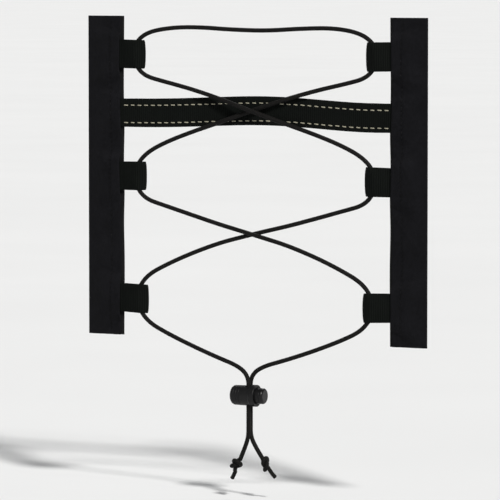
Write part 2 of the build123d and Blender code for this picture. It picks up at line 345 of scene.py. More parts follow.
def braid_material():
    """Polyester braid in warm black: fine filaments along each plait, painted highlights on plait tops."""
    shade = Shade("cord_braid", 0.6, Specular_IOR_Level=0.06, Sheen_Weight=0.02, Sheen_Roughness=0.4)
    around, along = shade.cloth()
    turn = shade.math("MULTIPLY", around, PLAITS * MM / (math.pi * CORD_DIAMETER))
    climb = shade.math("MULTIPLY", along, PLAITS * MM / PLAIT_TURN)
    first = shade.math("SUBTRACT", turn, climb)
    second = shade.math("ADD", turn, climb)
    painted_crown_light = shade.weave(first, second, 1.0, 1.0)
    first_fibres = shade.yarns(first, FILAMENT_SHARE)
    second_fibres = shade.yarns(second, FILAMENT_SHARE)
    filaments = shade.math("MAXIMUM", first_fibres, second_fibres)
    mottle = shade.noise(300, 4)
    # painted light: the colour is painted paler on each plait's top and on the filaments' tops, with
    # painted shade between them
    tone = shade.math("MULTIPLY_ADD", painted_crown_light, 0.6, shade.math("MULTIPLY", mottle, 0.45))
    tone = shade.math("MULTIPLY_ADD", filaments, 0.15, shade.math("SUBTRACT", tone, 0.1))
    shade.colour(tone, (0.0013, 0.0012, 0.0012), (0.0118, 0.0113, 0.0106))
    shade.roughness(mottle, 0.45, 0.68)
    shade.bump(filaments, 0.00006, 0.7)
    return shade.material


def thread_material(name, dark, light, specular):
    """Bonded thread; its plies are in the mesh, its filaments here."""
    shade = Shade(name, 0.5, Specular_IOR_Level=specular, Sheen_Weight=0.05, Sheen_Roughness=0.35)
    filaments = shade.noise(4200, 2)
    tint = shade.noise(70, 3)
    tone = shade.math("MULTIPLY_ADD", filaments, 0.4, shade.math("MULTIPLY", tint, 0.6))
    shade.colour(tone, dark, light)
    shade.roughness(filaments, 0.38, 0.6)
    shade.bump(filaments, 0.00005, 0.6)
    return shade.material


def acetal_material(name, dark, light, low_rough, high_rough, grain_depth):
    """Moulded acetal: a fine spark-eroded grain, a little polished where it is handled."""
    shade = Shade(name, 0.45, Specular_IOR_Level=0.22)
    grain = shade.noise(2800, 4, 0.7)
    handled = shade.noise(110, 4)
    tone = shade.math("MULTIPLY_ADD", grain, 0.35, shade.math("MULTIPLY", handled, 0.65))
    shade.colour(tone, dark, light)
    shade.roughness(handled, low_rough, high_rough)
    shade.bump(grain, grain_depth, 0.7)
    return shade.material


def steel_material():
    """Drawn spring wire with fine scratches along it."""
    shade = Shade("spring_wire", 0.3, Metallic=1.0)
    scratches = shade.noise(1500, 4)
    shade.colour(scratches, (0.42, 0.42, 0.41), (0.62, 0.62, 0.60))
    shade.roughness(scratches, 0.22, 0.42)
    shade.bump(scratches, 0.00002, 0.5)
    return shade.material


webbing = webbing_material()
cover_cloth = cover_material()
seam_tape = tape_material()
braid = braid_material()
black_thread = thread_material(
    "black_thread", dark=(0.0010, 0.0010, 0.0012), light=(0.0066, 0.0066, 0.0072), specular=0.05
)
beige_thread = thread_material(
    "beige_thread", dark=(0.19, 0.178, 0.13), light=(0.37, 0.35, 0.27), specular=0.3
)
barrel_plastic = acetal_material(
    "barrel_plastic",
    dark=(0.0022, 0.0022, 0.0024),
    light=(0.0078, 0.0078, 0.0083),
    low_rough=0.36,
    high_rough=0.52,
    grain_depth=0.00006,
)
plunger_plastic = acetal_material(
    "plunger_plastic",
    dark=(0.0019, 0.0019, 0.0021),
    light=(0.0065, 0.0065, 0.0070),
    low_rough=0.24,
    high_rough=0.40,
    grain_depth=0.00003,
)
spring_wire = steel_material()

# ---------------------------------------------------------------- mesh helpers


def unit(vectors):
    return vectors / np.linalg.norm(vectors, axis=-1, keepdims=True)


def make_piece(name, verts, faces, uvs, material, slot, body=ROOT):
    """A smooth-shaded mesh in the row frame that rides on a body. uvs has one pair per face corner."""
    mesh = bpy.data.meshes.new(name)
    mesh.from_pydata(verts.tolist(), [], faces)
    layer = mesh.uv_layers.new(name="cloth")
    layer.data.foreach_set("uv", np.asarray(uvs, np.float32).ravel())
    mesh.shade_smooth()
    mesh.materials.append(material)
    made = bpy.data.objects.new(name, mesh)
    bpy.context.scene.collection.objects.link(made)
    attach(made, body)
    return made


def ring_faces(rings, columns):
    """Quads between successive closed rings, and one cap at each end."""
    i = np.arange(rings - 1)[:, None] * columns
    j = np.arange(columns)[None, :]
    k = (j + 1) % columns
    quads = np.stack(np.broadcast_arrays(i + j, i + k, i + columns + k, i + columns + j), -1)
    caps = [list(range(columns - 1, -1, -1)), list(range((rings - 1) * columns, rings * columns))]
    return quads.reshape(-1, 4).tolist() + caps


def ring_uvs(around, along):
    """Face-corner pairs for ring_faces. around has one more value than a ring has columns."""
    a0, a1 = np.broadcast_arrays(around[None, :-1], around[None, 1:])
    s0, s1 = along[:-1, None], along[1:, None]
    corners = [np.broadcast_arrays(a, s) for a, s in ((a0, s0), (a1, s0), (a1, s1), (a0, s1))]
    quads = np.stack([np.stack(pair, -1) for pair in corners], 2).reshape(-1, 2)
    low = np.stack([around[:-1][::-1], np.full(len(around) - 1, along[0])], -1)
    high = np.stack([around[:-1], np.full(len(around) - 1, along[-1])], -1)
    return np.concatenate([quads, low, high])


def ring_angles(columns):
    return np.arange(columns) * 2 * math.pi / columns


def lengths_along(points):
    steps = np.linalg.norm(np.diff(points, axis=0), axis=1)
    return np.concatenate([[0.0], np.cumsum(steps)])


def evenly(points, step):
    """The same line with its points a fixed distance apart."""
    along = lengths_along(points)
    count = max(2, round(along[-1] / step) + 1)
    wanted = np.linspace(0, along[-1], count)
    return np.stack([np.interp(wanted, along, points[:, axis]) for axis in range(3)], -1)


def carried_frames(points):
    """Two cross directions at each point of a line, carried along it without twist."""
    tangents = unit(np.gradient(points, axis=0))
    normal = np.cross(tangents[0], np.eye(3)[np.argmin(np.abs(tangents[0]))])
    normals = np.empty_like(points)
    for i, tangent in enumerate(tangents):
        normal = normal - tangent * (normal @ tangent)
        normal = normal / np.linalg.norm(normal)
        normals[i] = normal
    return normals, np.cross(tangents, normals)


def tube(points, radii):
    """Vertices, faces and uvs of a tube. radii has one row per point and one column per side."""
    rings, columns = radii.shape
    normals, binormals = carried_frames(points)
    cosines = np.cos(ring_angles(columns))[None, :, None]
    sines = np.sin(ring_angles(columns))[None, :, None]
    spokes = normals[:, None] * cosines + binormals[:, None] * sines
    verts = points[:, None] + spokes * radii[..., None]
    around = np.arange(columns + 1) * (2 * math.pi * radii.mean() / columns) / MM
    uvs = ring_uvs(around, lengths_along(points) / MM)
    return verts.reshape(-1, 3), ring_faces(rings, columns), uvs


def spline(keys, count):
    """A smooth line through every key point (Catmull-Rom), with count points along it."""
    keys = np.asarray(keys, float)
    keys = np.concatenate([2 * keys[:1] - keys[1:2], keys, 2 * keys[-1:] - keys[-2:-1]])
    t = np.linspace(0, len(keys) - 3 - 1e-9, count)
    i, f = t.astype(int), (t % 1)[:, None]
    a, b, c, d = keys[i], keys[i + 1], keys[i + 2], keys[i + 3]
    return 0.5 * (2 * b + (c - a) * f + (2 * a - 5 * b + 4 * c - d) * f**2 + (3 * b - a - 3 * c + d) * f**3)


def strip_ring(half_width, thickness, columns):
    """One ring round a strip with rounded edges: where each point is across it, and its offset from
    the middle of its thickness. The front face comes first, from - to + across."""
    edge = thickness / 2
    flat = np.linspace(-half_width + edge, half_width - edge, columns)
    turn = np.radians([60, 25, -25, -60])
    right_edge = half_width - edge + edge * np.cos(turn)
    left_edge = -half_width + edge - edge * np.cos(turn)
    across = [flat, right_edge, flat[::-1], left_edge]
    face = np.full(columns, edge)
    offset = [face, edge * np.sin(turn), -face, -edge * np.sin(turn)]
    return np.concatenate(across), np.concatenate(offset)


def strip(centre, normal, offset, swell):
    """Vertices of a strip. centre and normal are (rings, columns, 3); swell adds to the thickness."""
    outward = offset[None, :] + np.sign(offset)[None, :] * swell
    return (centre + normal * outward[..., None]).reshape(-1, 3)


def strip_uvs(across, along):
    around = np.concatenate([across, across[:1]]) / MM
    return ring_uvs(around, along / MM)


def smooth(share):
    """Eases in and out from 0 to 1. A share below 0 gives 0, and one above 1 gives 1."""
    share = np.clip(share, 0, 1)
    return share * share * (3 - 2 * share)


def mound(distance, width):
    """A rounded rise: 1 at distance 0, and hardly anything past twice its width."""
    return np.exp(-((distance / width) ** 2))


def mirrored(verts, faces, side):
    """The left-hand copy turns its faces round, so that they still look outwards."""
    if side > 0:
        return verts, faces
    return verts * (-1, 1, 1), [face[::-1] for face in faces]


def mirrored_uvs(uvs, faces, side):
    """The same turn for the uvs, face by face."""
    if side > 0:
        return uvs
    turned, start = np.empty_like(uvs), 0
    for face in faces:
        stop = start + len(face)
        turned[start:stop] = uvs[start:stop][::-1]
        start = stop
    return turned


def add_strip(name, centre, normal, across, offset, swell, along, side, material, slot):
    """One strip piece, drawn on the right and mirrored for the left."""
    rings, columns = centre.shape[:2]
    faces = ring_faces(rings, columns)
    uvs = mirrored_uvs(strip_uvs(across, along), faces, side)
    verts, faces = mirrored(strip(centre, normal, offset, swell), faces, side)
    return make_piece(name, verts, faces, uvs, material, slot)


# ---------------------------------------------------------------- camera, light and floor

VIEW_AZIMUTH = math.radians(27)
VIEW_ELEVATION = math.radians(4)
VIEW_DISTANCE = 2.9
VIEW_WIDTH = 0.345  # of the plane through the object's middle that the picture shows
object_centre = (cad_low + cad_high) / 2


def look_from(thing, azimuth, elevation, distance):
    """Puts a camera or light round the object's centre, azimuth 0 in front, and aims it there."""
    flat = math.cos(elevation)
    back = Vector((math.sin(azimuth) * flat, -math.cos(azimuth) * flat, math.sin(elevation)))
    thing.location = object_centre + back * distance
    thing.rotation_euler = (-back).to_track_quat("-Z", "Y").to_euler()


camera_data = bpy.data.cameras.new("camera")
camera_data.sensor_width = 36.0
camera_data.lens = camera_data.sensor_width * VIEW_DISTANCE / VIEW_WIDTH
camera_data.clip_start = 0.05
camera_data.clip_end = 600.0
camera = bpy.data.objects.new("camera", camera_data)
bpy.context.scene.collection.objects.link(camera)
look_from(camera, VIEW_AZIMUTH, VIEW_ELEVATION, VIEW_DISTANCE)
bpy.context.scene.camera = camera


def soft_sun(name, azimuth, elevation, strength, softness, tint=(1, 1, 1)):
    """Even light from one side, with soft shadows. Azimuth, elevation and softness are degrees."""
    data = bpy.data.lights.new(name, "SUN")
    data.angle = math.radians(softness)
    data.energy = strength
    data.color = tint
    lamp = bpy.data.objects.new(name, data)
    bpy.context.scene.collection.objects.link(lamp)
    look_from(lamp, math.radians(azimuth), math.radians(elevation), VIEW_DISTANCE)


soft_sun("key_light", azimuth=50, elevation=40, strength=3.8, softness=8, tint=(1.0, 0.985, 0.96))
soft_sun("fill_light", azimuth=-38, elevation=30, strength=0.15, softness=50, tint=(0.96, 0.98, 1.0))
soft_sun("back_light", azimuth=190, elevation=40, strength=0.8, softness=30)

HORIZON_LIGHT = 0.86  # as bright as the floor looks
OVERHEAD_LIGHT = 0.16
FADE_START = 0.07  # the sine of the elevation where the surround starts to darken
FADE_END = 0.24


def studio_world():
    """An even surround: as pale as the floor near the horizon, and darker overhead."""
    world = bpy.data.worlds.new("studio")
    world.use_nodes = True
    nodes, links = world.node_tree.nodes, world.node_tree.links
    split = nodes.new("ShaderNodeSeparateXYZ")
    fade = nodes.new("ShaderNodeMapRange")
    links.new(nodes.new("ShaderNodeTexCoord").outputs["Generated"], split.inputs[0])
    links.new(split.outputs["Z"], fade.inputs["Value"])
    fade.inputs["From Min"].default_value = FADE_START
    fade.inputs["From Max"].default_value = FADE_END
    fade.inputs["To Min"].default_value = HORIZON_LIGHT
    fade.inputs["To Max"].default_value = OVERHEAD_LIGHT
    background = nodes["Background"]
    background.inputs["Color"].default_value = (1, 1, 0.995, 1)
    links.new(fade.outputs[0], background.inputs["Strength"])
    return world


bpy.context.scene.world = studio_world()
bpy.context.scene.view_settings.view_transform = "Standard"

FLOOR_GAP = 12 * MM
FLOOR_REACH = 200.0


def add_floor():
    """Pale, matt paper under the object, out to the horizon."""
    z = cad_low.z - FLOOR_GAP
    mesh = bpy.data.meshes.new("floor")
    around = ((-1, -1), (1, -1), (1, 1), (-1, 1))
    mesh.from_pydata([(x * FLOOR_REACH, y * FLOOR_REACH, z) for x, y in around], [], [(0, 1, 2, 3)])
    floor = bpy.data.objects.new("floor", mesh)
    bpy.context.scene.collection.objects.link(floor)
    shade = Shade("floor_paper", 0.9, Specular_IOR_Level=0.0)
    shade.colour(shade.noise(3, 2), (0.73, 0.738, 0.746), (0.77, 0.778, 0.786))
    mesh.materials.append(shade.material)


add_floor()

# ---------------------------------------------------------------- the elastic cord


def route_line(route):
    """Points along the smooth line of a route, read from its NURBS spline."""
    data = bpy.data.curves.new("cord_route", "CURVE")
    data.dimensions = "3D"
    data.resolution_u = 24
    line = data.splines.new("NURBS")
    line.points.add(len(route) - 1)
    for point, place in zip(line.points, route, strict=True):
        point.co = (*place, 1)
    line.order_u = 3
    line.use_endpoint_u = True
    holder = bpy.data.objects.new("cord_route", data)
    mesh = bpy.data.meshes.new_from_object(holder)
    points = np.array([vertex.co for vertex in mesh.vertices], float)
    bpy.data.objects.remove(holder)
    bpy.data.meshes.remove(mesh)
    return points


PLAIT_RELIEF = 0.17 * MM
PLAIT_SHOULDER = 0.35  # the smaller, the sooner a plait rises beside the one that it crosses
PLAIT_LEVEL = 0.6  # the share of the relief that lies inside the cord's radius


def braid_relief(along, angles):
    """Height of the plaits on the cord: at each crossing one goes over, by turns."""
    turn = angles[None, :] / (2 * math.pi)
    first = PLAITS * (turn - along[:, None] / PLAIT_TURN)
    second = PLAITS * (turn + along[:, None] / PLAIT_TURN)
    first_on_top = (np.floor(first) + np.floor(second)) % 2 == 0
    over_first = np.sin(math.pi * (first % 1))
    over_second = np.sin(math.pi * (second % 1))
    first_crown = over_first * over_second**PLAIT_SHOULDER
    second_crown = over_second * over_first**PLAIT_SHOULDER
    return PLAIT_RELIEF * (np.where(first_on_top, first_crown, second_crown) - PLAIT_LEVEL)


def braided(points, diameter, columns):
    """A braided tube along points, which are close together."""
    return tube(points, diameter / 2 + braid_relief(lengths_along(points), ring_angles(columns)))


CORD_STEP = 0.45 * MM
CORD_COLUMNS = 32
cord_path = evenly(route_line(CORD_ROUTE), CORD_STEP)
cord = make_piece("elastic_cord", *braided(cord_path, CORD_DIAMETER, CORD_COLUMNS), braid, "cord_braid")
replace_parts(cord, "cord_sheath", "cord_core")


KNOT_POINTS = 120
KNOT_SQUEEZE = 0.92  # the cord is a little thinner where it is pulled tight
KNOT_DIAMETER = CORD_DIAMETER * KNOT_SQUEEZE
KNOT_STEP = 0.28 * MM
KNOT_SPLINE_POINTS = 3000
KNOT_SPREAD = 0.3  # diameters off the axis, from where the line counts as knot
LEAD_IN = 1.2 * MM  # the straight cord that is kept before the knot
LEAD_OUT = 1.5 * MM

# the loose knot
LOOSE_END = 2.25  # the formula's parameter at its two ends
LOOSE_POINTS = 600
LOOSE_SIZE = 0.45  # diameters for one unit of the formula

# the tightening of the knot
TURNS = 1200
DRAWN_TURNS = 0.88 * TURNS  # after these the ends are no longer drawn apart
DRAW = 0.4  # how far each end is drawn in a turn, as a share of the distance between two points
NEIGHBOUR = 1.9  # diameters along the cord within which two points don't push each other
PUSH = 0.42
LENGTH_PASSES = 4
SMOOTHING = 0.2

STUB_LENGTH = 16 * MM  # with the knot
STUB_STEP = 1.0 * MM
STUB_BOW = 0.9 * MM
BEAD_LENGTH = 0.9 * MM  # of the stub's melted tip
BEAD_SWELL = 0.12


def tightened_knot(diameter):
    """The line of an overhand knot, pulled tight. It starts loose; then its ends are drawn apart, while
    the cord keeps its length and can't pass through itself."""
    t = np.linspace(-LOOSE_END, LOOSE_END, LOOSE_POINTS)
    loose = np.stack([t**3 - 3 * t, t**4 - 4 * t**2, t**5 / 5 - 2 * t], -1) * diameter * LOOSE_SIZE
    line = evenly(loose, lengths_along(loose)[-1] / (KNOT_POINTS - 1))
    step = np.linalg.norm(np.diff(line, axis=0), axis=1).mean()
    draw = unit(line[-1] - line[0]) * step * DRAW
    order = np.arange(KNOT_POINTS)
    beside = np.abs(order[:, None] - order[None, :]) * step < NEIGHBOUR * diameter
    for turn in range(TURNS):
        if turn < DRAWN_TURNS:
            line[0] -= draw
            line[-1] += draw
        gap = line[:, None] - line[None, :]
        distance = np.linalg.norm(gap, axis=-1) + 1e-12
        push = np.where(beside, 0.0, np.clip(diameter - distance, 0, None)) / distance
        line[1:-1] += PUSH * (gap * push[..., None]).sum(1)[1:-1]
        for _ in range(LENGTH_PASSES):
            run = np.diff(line, axis=0)
            fix = run * (1 - step / np.linalg.norm(run, axis=1, keepdims=True)) / 2
            line[:-1] += fix
            line[1:] -= fix
        line[1:-1] += SMOOTHING * ((line[:-2] + line[2:]) / 2 - line[1:-1])
    return line


def knot_and_stub(length):
    """The knot's line and the stub after it, from the origin along +Z to that length."""
    line = tightened_knot(KNOT_DIAMETER)
    axis = unit(line[-1] - line[0])
    side = unit(np.cross(axis, (0.0, 1.0, 0.0)))
    local = (line - line[0]) @ np.stack([side, np.cross(axis, side), axis], -1)
    turned = local[np.hypot(local[:, 0], local[:, 1]) > KNOT_SPREAD * KNOT_DIAMETER, 2]
    local = local[(local[:, 2] > turned.min() - LEAD_IN) & (local[:, 2] < turned.max() + LEAD_OUT)]
    local[:, 2] -= local[0, 2]
    stub = np.arange(local[-1, 2] + STUB_STEP, length, STUB_STEP)
    bow = STUB_BOW * ((stub - stub[0]) / (stub[-1] - stub[0])) ** 2
    local = np.concatenate([local, np.stack([bow, 0.6 * bow, stub], -1)])
    return evenly(spline(local, KNOT_SPLINE_POINTS), KNOT_STEP)


knot_shape = knot_and_stub(STUB_LENGTH)


def add_knot(name, node, start, direction, spin):
    """The knot at one end of the cord. Its stub ends in a melted bead."""
    helper = unit(np.cross(direction, (math.cos(spin), math.sin(spin), 0.3)))
    points = start + knot_shape @ np.stack([helper, np.cross(direction, helper), direction])
    along = lengths_along(points)
    radius = np.interp(along, [0, 3 * MM], [CORD_DIAMETER / 2, KNOT_DIAMETER / 2])
    to_end = np.clip((along[-1] - along) / BEAD_LENGTH, 0, 2)
    bead = np.where(to_end < 1, np.sqrt(1 - (1 - np.clip(to_end, 0.02, 1)) ** 2), 1.0)
    bead = bead * (1 + BEAD_SWELL * np.clip(2 - to_end, 0, 1))
    relief = braid_relief(along, ring_angles(CORD_COLUMNS)) * np.clip(to_end - 0.8, 0, 1)[:, None]
    knot = make_piece(name, *tube(points, (radius * bead)[:, None] + relief), braid, "cord_braid")
    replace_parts(knot, node)
    return knot


knots = [
    add_knot("knot_left", "cord_end_left", cord_path[0], unit(cord_path[0] - cord_path[4]), 0.4),
    add_knot("knot_right", "cord_end_right", cord_path[-1], unit(cord_path[-1] - cord_path[-5]), 2.1),
]
barrel_low, barrel_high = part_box("lock_barrel")

# ---------------------------------------------------------------- webbing keepers

TAIL = 11 * MM  # how far webbing reaches under a cover strip
RIB_DEPTH = 0.26 * MM
RIB_ROUNDNESS = 0.6  # the smaller, the flatter the top of each rib
SELVEDGE = 1.1 * MM  # the width in which the ribs fade out
WEBBING_THICK = PLY - RIB_DEPTH  # between the middles of the ribs' slopes
KEEPER_COLUMNS = 20
STRAP_COLUMNS = 30
WEBBING_STEP = 0.19 * MM
SECTION_POINTS = 900


def ribs(along, across):
    """Rounded cross ribs that fade at the two selvedges."""
    wave = np.abs(np.sin(math.pi * along / RIB_PITCH)) ** RIB_ROUNDNESS
    inside = np.clip((WEBBING_HALF - np.abs(across)) / SELVEDGE, 0, 1)
    return RIB_DEPTH * (wave - 0.5) * inside


def cord_in_keeper(row_z, heights):
    """How far to the right the cord's middle is, at each height in a keeper."""
    near_fold = cord_path[:, 0] > 0.8 * SEAM_X
    strand = cord_path[near_fold & (np.abs(cord_path[:, 2] - row_z) < WEBBING_HALF + 2 * MM)]
    strand = strand[np.argsort(strand[:, 2])]
    return np.interp(heights, strand[:, 2], strand[:, 0])


def keeper_section(cord_x, fold_x, tail_x):
    """The middle line of the webbing at one height, from its front tail over the cord and round the
    fold to its back tail: x and how far it stands off the panel."""
    front = TAPE + 1.5 * PLY
    back = TAPE + 0.5 * PLY
    low = 0.15 * MM + PLY / 2
    left = cord_x - fold_x
    return np.array(
        [
            (tail_x, front),
            (SEAM_X + 5 * MM, front),
            (SEAM_X + 0.5 * MM, front),
            (SEAM_X - 2.3 * MM, front + 0.12 * MM),
            (cord_x + 0.55 * (SEAM_X - cord_x), front + 1.15 * MM),
            (cord_x + 1.4 * MM, 5.15 * MM),
            (cord_x - 0.7 * MM, 5.38 * MM),
            (fold_x + 0.73 * left, 5.0 * MM),
            (fold_x + 0.49 * left, 4.15 * MM),
            (fold_x + 0.25 * left, 2.9 * MM),
            (fold_x + 0.95 * MM, 2.05 * MM),
            (fold_x + 0.6 * MM, 1.45 * MM),
            (fold_x + 1.15 * MM, 0.92 * MM),
            (fold_x + 3 * MM, low),
            (cord_x, low),
            (SEAM_X - 4 * MM, low + 0.1 * MM),
            (SEAM_X, back),
            (SEAM_X + 5 * MM, back),
            (tail_x, back),
        ]
    )


KEEPER_LEAN = {"top": 0.018, "middle": -0.012, "bottom": 0.03}  # how far each fold hangs, per length
FOLD_BOW = 0.5 * MM  # how much less far a fold reaches at its selvedges
KEEPER_CURL = 0.35 * MM  # how far the selvedges bend in
CURL_POWER = 6  # the higher, the nearer to the selvedge the bend stays


def webbing_name(side_name, row):
    return f"webbing_{side_name}_{row}"


def add_keeper(row, side_name, side):
    """A keeper, section by section across its width, each with its own place of the cord."""
    right_low, right_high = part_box(f"keeper_right_{row}")
    row_z = (right_low.z + right_high.z) / 2
    across, offset = strip_ring(WEBBING_HALF, WEBBING_THICK, KEEPER_COLUMNS)
    heights = row_z + across
    out = across / WEBBING_HALF
    lines = []
    for cord_x, fold_bow in zip(cord_in_keeper(row_z, heights), FOLD_BOW * out**2, strict=True):
        keys = keeper_section(cord_x, right_low.x + fold_bow, SEAM_X + TAIL)
        lines.append(spline(np.insert(keys, 2, 0.0, axis=1), SECTION_POINTS))
    rings = round(lengths_along(lines[len(lines) // 2])[-1] / WEBBING_STEP)
    columns = []
    for line in lines:
        along = lengths_along(line)
        wanted = np.linspace(0, along[-1], rings)
        columns.append(np.stack([np.interp(wanted, along, line[:, axis]) for axis in (0, 1)], -1))
    flat = np.stack(columns, 1)
    tangent = unit(np.gradient(flat, axis=0))
    centre = np.stack([flat[..., 0], -flat[..., 1], np.broadcast_to(heights, flat.shape[:2])], -1)
    centre[..., 2] -= KEEPER_LEAN[row] * np.clip(SEAM_X - flat[..., 0], 0, None)
    normal = np.stack([tangent[..., 1], tangent[..., 0], np.zeros(flat.shape[:2])], -1)
    free = smooth((SEAM_X - flat[..., 0]) / (6 * MM))
    centre = centre - normal * (KEEPER_CURL * out**CURL_POWER * free)[..., None]
    tilt = CURL_POWER * KEEPER_CURL / WEBBING_HALF * out ** (CURL_POWER - 1) * free
    normal = unit(normal + np.stack([0 * tilt, 0 * tilt, tilt], -1))
    along = np.arange(rings) * WEBBING_STEP
    swell = ribs(along[:, None], across[None, :])
    name = webbing_name(side_name, row)
    piece = add_strip(name, centre, normal, across, offset, swell, along, side, webbing, "ribbed_webbing")
    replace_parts(piece, f"keeper_{side_name}_{row}")


for side_name, side in SIDES.items():
    for row in ROWS:
        add_keeper(row, side_name, side)

# ---------------------------------------------------------------- cover strips and tapes

TOPSTITCH_PITCH = 3.2 * MM
CLOTH_STEP = 0.5 * MM
COVER_COLUMNS = 52
TAPE_COLUMNS = 40

# how the cover comes down round the webbing under it
BESIDE = 0.3 * MM  # full height goes on this far past the webbing's sides
SHORTEST_RAMP = 2.2 * MM
RAMP_PER_RISE = 1.7
WIDER_BELOW = 0.3  # how much wider the rise gets away from the seam, per length, on its lower side
WIDER_ABOVE = 0.12
RISE_END = 25 * MM  # from the seam's edge to where the cover lies on the tape again
RISE_FADE = 13 * MM  # the stretch before that, in which it comes down


def under_cover():
    """What lies under the right cover strip: its middle height and thickness."""
    layers = [(STRAP_Z, PLY)]
    for row in ROWS:
        low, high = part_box(f"keeper_right_{row}")
        layers.append(((low.z + high.z) / 2, 2 * PLY))
    return layers


UNDER = under_cover()


def cover_front(x, z):
    """How far the right cover's front stands off the panel. It comes down slowly past the webbing's
    end, and further and further from its sides."""
    height = TAPE + COVER + 0 * x * z  # the same everywhere, in the shape of x and z together
    past_seam = np.clip(x - SEAM_X, 0, None)
    for middle, rise in UNDER:
        ramp = SHORTEST_RAMP + RAMP_PER_RISE * rise
        spread = np.where(z < middle, WIDER_BELOW, WIDER_ABOVE) * past_seam
        beside = smooth(1 - (np.abs(z - middle) - WEBBING_HALF - BESIDE - spread) / (ramp + spread))
        height = height + rise * beside * smooth((SEAM_X + RISE_END - x) / RISE_FADE)
    return height


def stitch_valley(x, z):
    """How far the topstitch pulls the cloth in: most where the thread goes down."""
    down = 0.5 + 0.5 * np.cos(2 * math.pi * z / TOPSTITCH_PITCH)
    return (0.14 + 0.12 * down) * MM * mound(x - TOPSTITCH_X, 0.9 * MM)


# Ridges that start beyond the corners of the webbing: which end (1 the upper, -1 the lower), how far
# each climbs away from that end per length, its height in millimetres, and how many millimetres past
# the corner it starts.
RIDGES = ((1, 0.8, 0.35, 2.0), (-1, 0.7, 0.5, 2.5), (-1, 1.3, 0.4, 9.0))
RIDGE_WIDTH = 1.9 * MM
RIDGE_LENGTH = 17 * MM


def tension_wrinkles(x, z):
    """A puffed folded edge, slow waves, and soft ridges that run out from the webbing's corners."""
    height = 0.16 * MM * mound(x - SEAM_X - 1.2 * MM, 1.0 * MM)
    wave = 1 + np.sin(z / (7.7 * MM) + 1.8 * np.sin(z / (21 * MM)) - x / (9 * MM))
    height = height + 0.13 * MM * wave * smooth((cover_high.x - x) / (6 * MM))
    out = x - SEAM_X + 1 * MM
    for middle, rise in UNDER:
        fade = mound(out, RIDGE_LENGTH) * rise / (2 * PLY)
        for end, slope, size, start in RIDGES:
            up = end * (z - middle) - WEBBING_HALF - start * MM
            height = height + size * MM * fade * mound(up - slope * out, RIDGE_WIDTH)
    return height


def edge_wave(z):
    """The folded edge of a seam isn't quite straight."""
    return 0.22 * MM * np.sin(z / (11 * MM) + 2.1 * np.sin(z / (37 * MM)))


def cloth_strip(name, low, high, column_count, front, back, side, material, slot, node):
    """A closed sheet between two surfaces, from low to high, whose columns run across in x."""
    thick = float(np.median(front(low.x, np.zeros(1)) - back(low.x, np.zeros(1))))
    half = (high.x - low.x) / 2
    across, offset = strip_ring(half, thick, column_count)
    x = (low.x + high.x) / 2 + across[None, :]
    z = np.linspace(low.z, high.z, round((high.z - low.z) / CLOTH_STEP) + 1)[:, None]
    outer, inner = front(x, z), back(x, z)
    middle = (outer + inner) / 2
    slope_z = np.gradient(middle, CLOTH_STEP, axis=0)
    normal = unit(np.stack([0 * middle, -np.ones_like(middle), -slope_z], -1))
    drawn = edge_wave(z) * smooth((TOPSTITCH_X - x) / (TOPSTITCH_X - low.x))
    centre = np.stack([x + drawn, -middle, np.broadcast_to(z, middle.shape)], -1)
    swell = (outer - inner - thick) / 2
    piece = add_strip(name, centre, normal, across, offset, swell, z[:, 0] - z[0, 0], side, material, slot)
    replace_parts(piece, node)
    return piece


# how far each face of the cover and the tape stands off the panel


def cover_outer(x, z):
    return cover_front(x, z) + tension_wrinkles(x, z) - stitch_valley(x, z)


def cover_inner(x, z):
    return cover_front(x, z) + 0.6 * tension_wrinkles(x, z) - COVER


def tape_outer(x, z):
    return TAPE + 0 * x * z


def tape_inner(x, z):
    return stitch_valley(x, z)


for side_name, side in SIDES.items():
    cover = cloth_strip(
        f"cover_{side_name}", cover_low, cover_high, COVER_COLUMNS, cover_outer, cover_inner,
        side, cover_cloth, "cover_fabric", f"cover_strip_{side_name}",
    )
    tape = cloth_strip(
        f"tape_{side_name}", tape_low, tape_high, TAPE_COLUMNS, tape_outer, tape_inner,
        side, seam_tape, "backing_tape", f"backing_tape_{side_name}",
    )

# ---------------------------------------------------------------- cross strap

row_low, row_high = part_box("strap_stitch_upper")
lower_row_low, lower_row_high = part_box("strap_stitch_lower")
STRAP_ROWS = {  # how far each row of stitches is above the strap's middle line
    "upper": (row_low.z + row_high.z) / 2 - STRAP_Z,
    "lower": (lower_row_low.z + lower_row_high.z) / 2 - STRAP_Z,
}
ROW_DEPTH = 0.2 * MM  # how far a row pulls the webbing in
ROW_WIDTH = 0.8 * MM
STRAP_ARCH = 3.2 * MM
STRAP_ARCH_HALF = 92 * MM
RIPPLE = 0.25 * MM
RIPPLE_LENGTH = 19 * MM  # for one radian
STRAP_CURL = 0.85 * MM  # of the wider margin's edge
WIDER_MARGIN = WEBBING_HALF - STRAP_ROWS["upper"]


def strap_curl(x, off_middle):
    """How far the strap's free edges bend back, past the rows that hold it down, and the slope there."""
    above = np.clip(off_middle - STRAP_ROWS["upper"], 0, None)
    below = np.clip(STRAP_ROWS["lower"] - off_middle, 0, None)
    free = smooth((SEAM_X - 4 * MM - np.abs(x)) / (9 * MM))
    back = STRAP_CURL * ((above + below) / WIDER_MARGIN) ** 3 * free
    slope = 3 * STRAP_CURL * (above**2 - below**2) / WIDER_MARGIN**3 * free
    return back, slope


def strap_wave(x):
    """The strap arches up a little towards its middle, where the cords cross on it."""
    arch = STRAP_ARCH * (1 - smooth(np.abs(x) / STRAP_ARCH_HALF))
    return arch + RIPPLE * np.sin(x / RIPPLE_LENGTH)


def row_valley(off_middle):
    """How far the two rows pull the webbing in."""
    return sum(ROW_DEPTH * mound(off_middle - row, ROW_WIDTH) for row in STRAP_ROWS.values())


